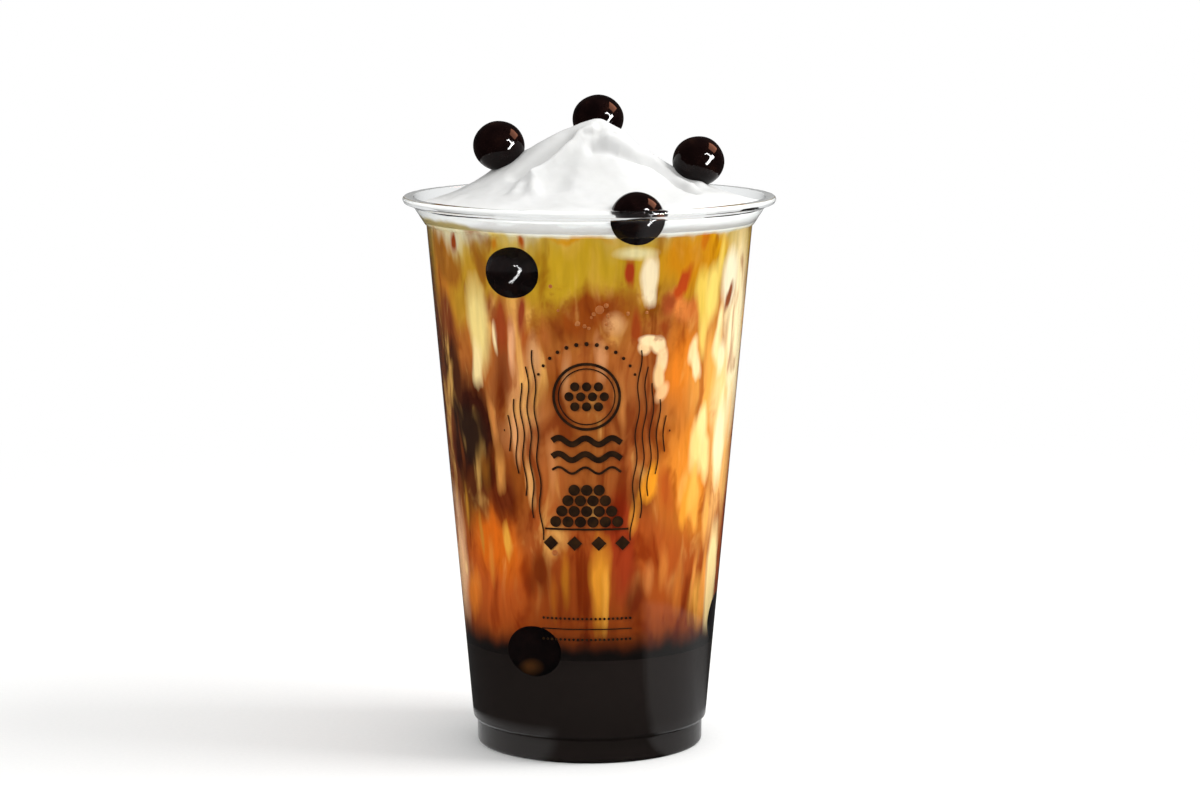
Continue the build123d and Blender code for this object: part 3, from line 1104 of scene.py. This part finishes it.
def cream_top(place):
    """The height of the cream's surface at a place inside the cup."""
    away = place - peak_place
    distance = max(away.length, 1e-6)
    beside, along = (away.x / distance) ** 2, (away.y / distance) ** 2
    side_reach, side_power = left_spread if away.x < 0 else right_spread
    deep_reach, deep_power = front_spread if away.y < 0 else back_spread
    reach = (beside / side_reach**2 + along / deep_reach**2) ** -0.5
    mound = peak_height * exp(-((distance / reach) ** (beside * side_power + along * deep_power)))
    hump = hump_height * exp(-(((place - hump_place).length / hump_width) ** 2))
    lift = edge_swell + mound + hump
    for direction, depth, width, near, far in creases:
        run = Vector((cos(radians(direction)), sin(radians(direction))))
        ahead, across = away.dot(run), away.cross(run)
        middle, half = (near + far) / 2, (far - near) / 2
        lift -= depth * exp(-((across / width) ** 2)) * exp(-(((ahead - middle) / half) ** 4))
    # Uneven by half a millimetre over 8 mm, and by a little over 3 mm.
    spot = Vector((place.x, place.y, 0))
    lift += 0.5 * noise.noise(spot / 8) + 0.14 * noise.noise(spot / 2.6)
    # The mound dies away at the wall.
    share = place.length / cream_radius
    lift *= 1 / (1 + (share / 0.95) ** 10)
    # At the wall the cream creeps up and down by half a millimetre.
    lift += 0.6 * noise.noise(spot / 7) * share**20
    return cream_level - front_dip * max(-place.y, 0) / cream_radius + lift


def folded(place):
    """The point of the folded surface over a place: each roll swells out, and each fold dips in,
    square to the mound's slope."""
    level = cream_top(place)
    bulge = 0
    for line, width, height in cream_rolls:
        off = min(distance_to(place, start, end) for start, end in zip(line, line[1:]))
        if off < 3 * width:
            bulge += height * exp(-((off / width) ** 2))
    if not bulge:
        return Vector((*place, level))
    step = 0.3  # mm, over which the slope is taken
    slope_x = (cream_top(place + Vector((step, 0))) - level) / step
    slope_y = (cream_top(place + Vector((0, step))) - level) / step
    return Vector((*place, level)) + Vector((-slope_x, -slope_y, 1)).normalized() * bulge


def make_cream(material, rings=150, turns=400):
    """The mound, down to where the milk tea starts."""
    points = [folded(Vector((0, 0)))]
    for k in range(1, rings + 1):
        for i in range(turns):
            angle = 2 * pi * i / turns
            place = Vector((sin(angle), -cos(angle))) * (cream_radius * k / rings)
            points.append(folded(place))
    for level in (cream_edge, tea_level):
        out = inner_radius(level) + into_wall
        points += [around(2 * pi * i / turns, out, level) for i in range(turns)]
    points.append((0, 0, tea_level))
    faces = []
    for i in range(turns):
        j = (i + 1) % turns
        faces.append((0, 1 + i, 1 + j))
        for k in range(rings + 1):
            a, b = 1 + k * turns, 1 + (k + 1) * turns
            faces.append((a + i, b + i, b + j, a + j))
        a = 1 + (rings + 1) * turns
        faces.append((len(points) - 1, a + j, a + i))
    cream = new_object("cream_mound", points, faces, material)
    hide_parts("cream")


# ---- The pearls ----
# Pearls that lie against the wall in the drink: angle round the cup, height, depth of the middle
# behind the wall, width, the angle of the way each is pressed, and whether the syrup covers it.
sunk_pearls = [
    (-32.6, 125.0, 5.0, 13.1, 0, False),
    (-31.2, 29.0, 5.0, 13.3, 0, True),
    (80, 33.6, 4.6, 12.6, 80, True),
]
# Where light gets into the front one in the syrup, as a patch of the same kind as the clouds.
amber_spot = [(-27.8, 24.6, 4.6, 2.6, 12, "#5c3818", 1.3)]


def tapioca(name, gloss):
    """A tapioca pearl steeped in brown sugar: nearly black, and brown where light gets into it.
    Its wet skin mirrors sharply, though less in the drink than out of it."""
    material, tree = new_material(name)
    space, flat = flat_place(tree)
    # Clouds in the starch 4 mm across, and shallow dents 2 mm across.
    stops = [(0.35, "#0c0505"), (0.6, "#140908"), (0.8, "#24130d")]
    tint = mottled(tree, space, 1 / 4.0, stops)
    base = paint(tree, tint, flat, amber_spot)
    dents = add(tree, "TexNoise", {"Vector": space, "Scale": 1 / 2.2, "Detail": 2.0})
    relief = add(tree, "Bump", {"Height": dents.outputs["Fac"], "Strength": 0.06, "Distance": 0.4 * MM})
    shader = add(
        tree,
        "BsdfPrincipled",
        {
            "Base Color": base,
            "Roughness": 0.06,
            "IOR": 1.38,
            "Specular IOR Level": gloss,
            "Normal": relief,
        },
    )
    add(tree, "OutputMaterial", {"Surface": shader})
    return material


def smooth(low, high, value):
    """Rises smoothly from 0 to 1 as value goes from low to high."""
    share = min(max((value - low) / (high - low), 0), 1)
    return share * share * (3 - 2 * share)


before_tea = 0.06  # how far a pressed pearl stands out of the tea
ball_swell = 0.02  # how far a pearl is from round, as a share of its radius


def make_ball(name, centre, size, material, seed, pressed_below=None, press_angle=0):
    """A soft ball that isn't quite round. Below the height pressed_below it is pressed flat on
    the cup's wall, and there it still shines as the ball that it is."""
    ball = bmesh.new()
    bmesh.ops.create_icosphere(ball, subdivisions=6, radius=1.0)
    press = Vector(around(radians(press_angle), 1, 0))
    points, normals = [], []
    for vertex in ball.verts:
        way = vertex.co.normalized()
        swell = 1 + ball_swell * noise.noise(way * 1.3 + Vector((seed, 0, 0)))
        p = Vector(centre) + Vector(a * b for a, b in zip(way, size)) * (0.5 * swell)
        if pressed_below is not None:
            share = smooth(-0.1, 0.1, way.dot(press))
            share *= smooth(pressed_below + 2, pressed_below, p.z)
            most = inner_radius(max(p.z, shoulder_level)) + into_wall + before_tea
            ahead, square = p.dot(press), p.xy.length_squared
            room = sqrt(max(ahead**2 + most**2 - square, 0)) - ahead
            p += press * min(room, share * size[0])
        points.append(p)
        normals.append(way)
    faces = [[v.index for v in face.verts] for face in ball.faces]
    ball.free()
    piece = new_object(name, points, faces, material)
    if pressed_below is not None:
        piece.data.normals_split_custom_set_from_vertices(normals)
    return piece


def make_pearls(free, sunk, covered):
    """The four on the cream, the front one of which bulges against the wall, and the sunk ones."""
    for seed, node in enumerate(("pearl_left", "pearl_back", "pearl_right", "pearl_front")):
        low, high = corners_mm(node)
        pressed_below = cream_level + 0.5 if node == "pearl_front" else None
        centre, size = (low + high) / 2, high - low
        pearl = make_ball(node + "_ball", centre, size, free, 10 * seed, pressed_below)
        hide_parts(node)
        strips_lit.objects.link(pearl)
    for seed, (angle, level, depth, width, press, in_syrup) in enumerate(sunk_pearls):
        out = inner_radius(level) - depth
        centre = around(radians(angle), out, level)
        size = Vector((1, 1, 0.97)) * width
        skin = covered if in_syrup else sunk
        pearl = make_ball(f"sunk_pearl_{seed + 1}", centre, size, skin, 5 * seed + 3, tea_level, press)
        low_strips_lit.objects.link(pearl)


# ---- Putting it together ----
make_camera()
light_studio()
make_floor()
make_cup(clear_plastic())
make_print(dark_ink())
make_drink(milk_tea())
make_bubbles(bubbly_tea())
make_cream(whipped_cream())
make_pearls(
    tapioca("syrup_glazed_tapioca", 0.2),
    tapioca("tapioca_in_milk_tea", 0.13),
    tapioca("tapioca_in_syrup", 0.0),
)
